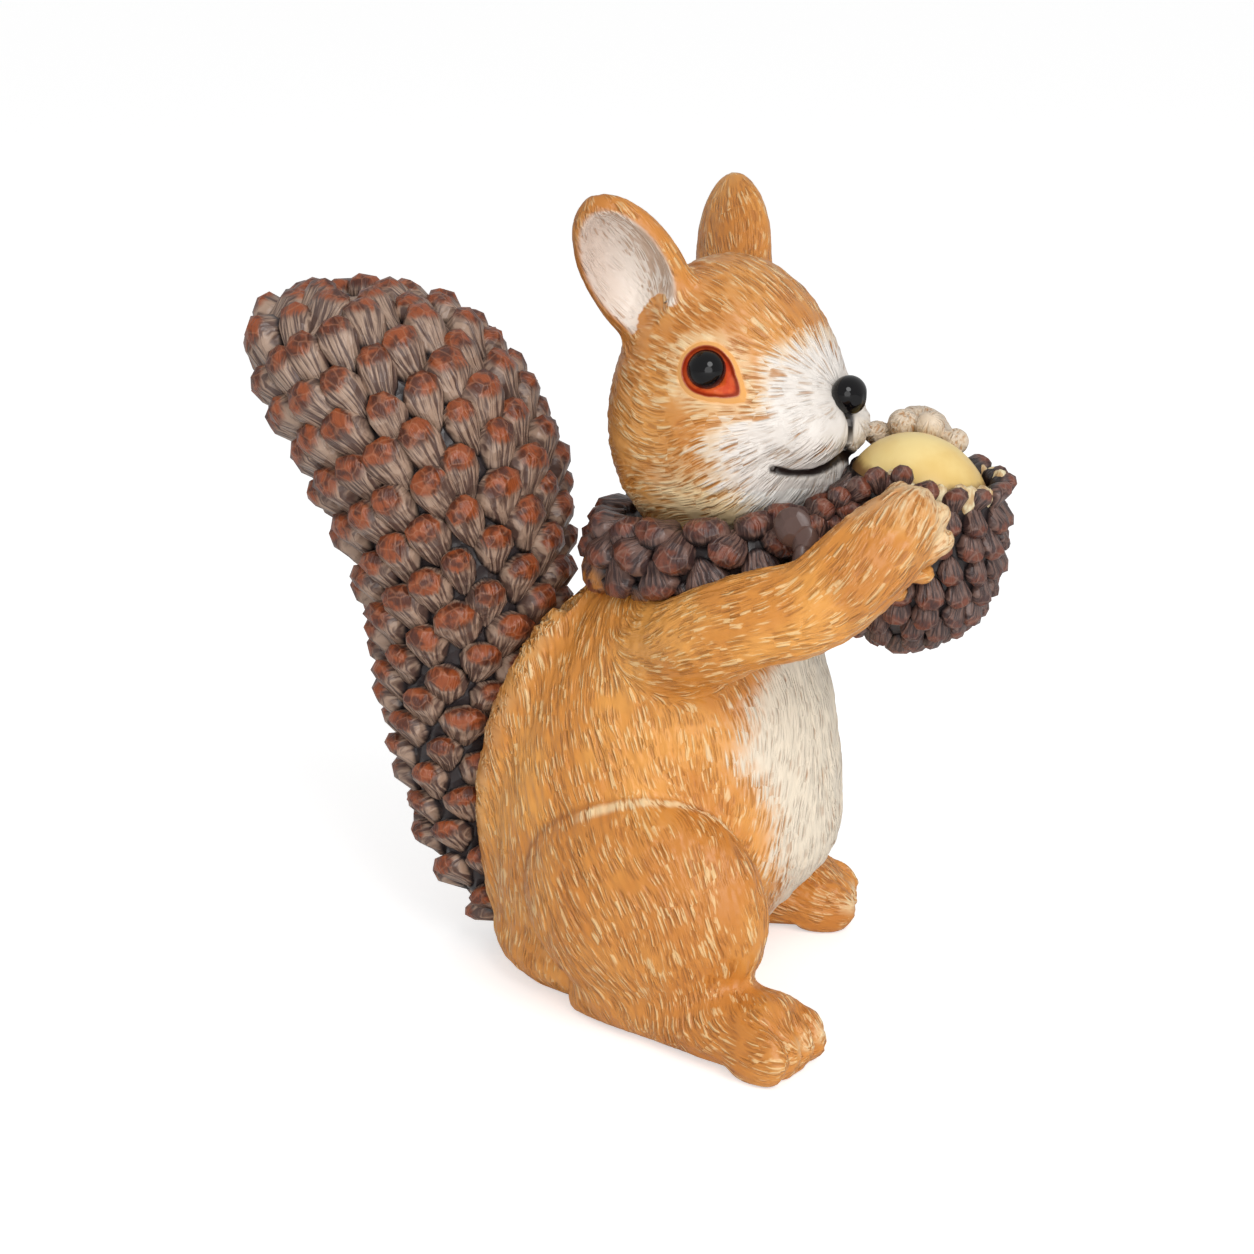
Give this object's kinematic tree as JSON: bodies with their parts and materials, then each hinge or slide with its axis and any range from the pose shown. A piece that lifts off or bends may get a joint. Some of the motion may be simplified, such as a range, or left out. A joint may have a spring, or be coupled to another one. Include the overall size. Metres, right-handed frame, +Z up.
{
  "type": "squirrel figurine",
  "caption": "Sitting squirrel ornament in painted resin, holding an open nut with a smooth kernel, with a scaled cone-like tail and a garland of knobs round its neck",
  "frame": {"origin": "on the flat underside of the torso, on the ground, under the middle of the body", "axes": "squirrel faces -Y, its right side is at -X, +Z is up"},
  "size_m": [0.1058, 0.1828, 0.1862],
  "materials": {
    "painted_fur": "satin painted cast resin with carved fur, cream dry-brushed ridges",
    "cone_scales": "satin painted cast resin, grey-brown with rust tips",
    "dark_knobs": "semi-gloss dark brown painted cast resin",
    "kernel": "smooth satin pale yellow paint",
    "eye_bead": "glossy black bead with a reddish painted rim",
    "black_gloss": "gloss black paint",
    "plug": "bare cast resin",
    "steel_pin": "plain drawn steel"
  },
  "bodies": {
    "root": {"torso": "painted_fur", "base_plug": "plug", "head": "painted_fur", "right_ear": "painted_fur", "left_ear": "painted_fur", "right_eye": "eye_bead", "left_eye": "eye_bead", "nose": "black_gloss", "right_arm": "painted_fur", "left_arm": "painted_fur", "right_hind_leg": "painted_fur", "left_hind_leg": "painted_fur", "tail": "cone_scales", "neck_garland": "dark_knobs", "nut_shell": "dark_knobs", "nut_kernel": "kernel", "neck_dowel": "steel_pin", "tail_dowels": "steel_pin"}
  },
  "joints": []
}
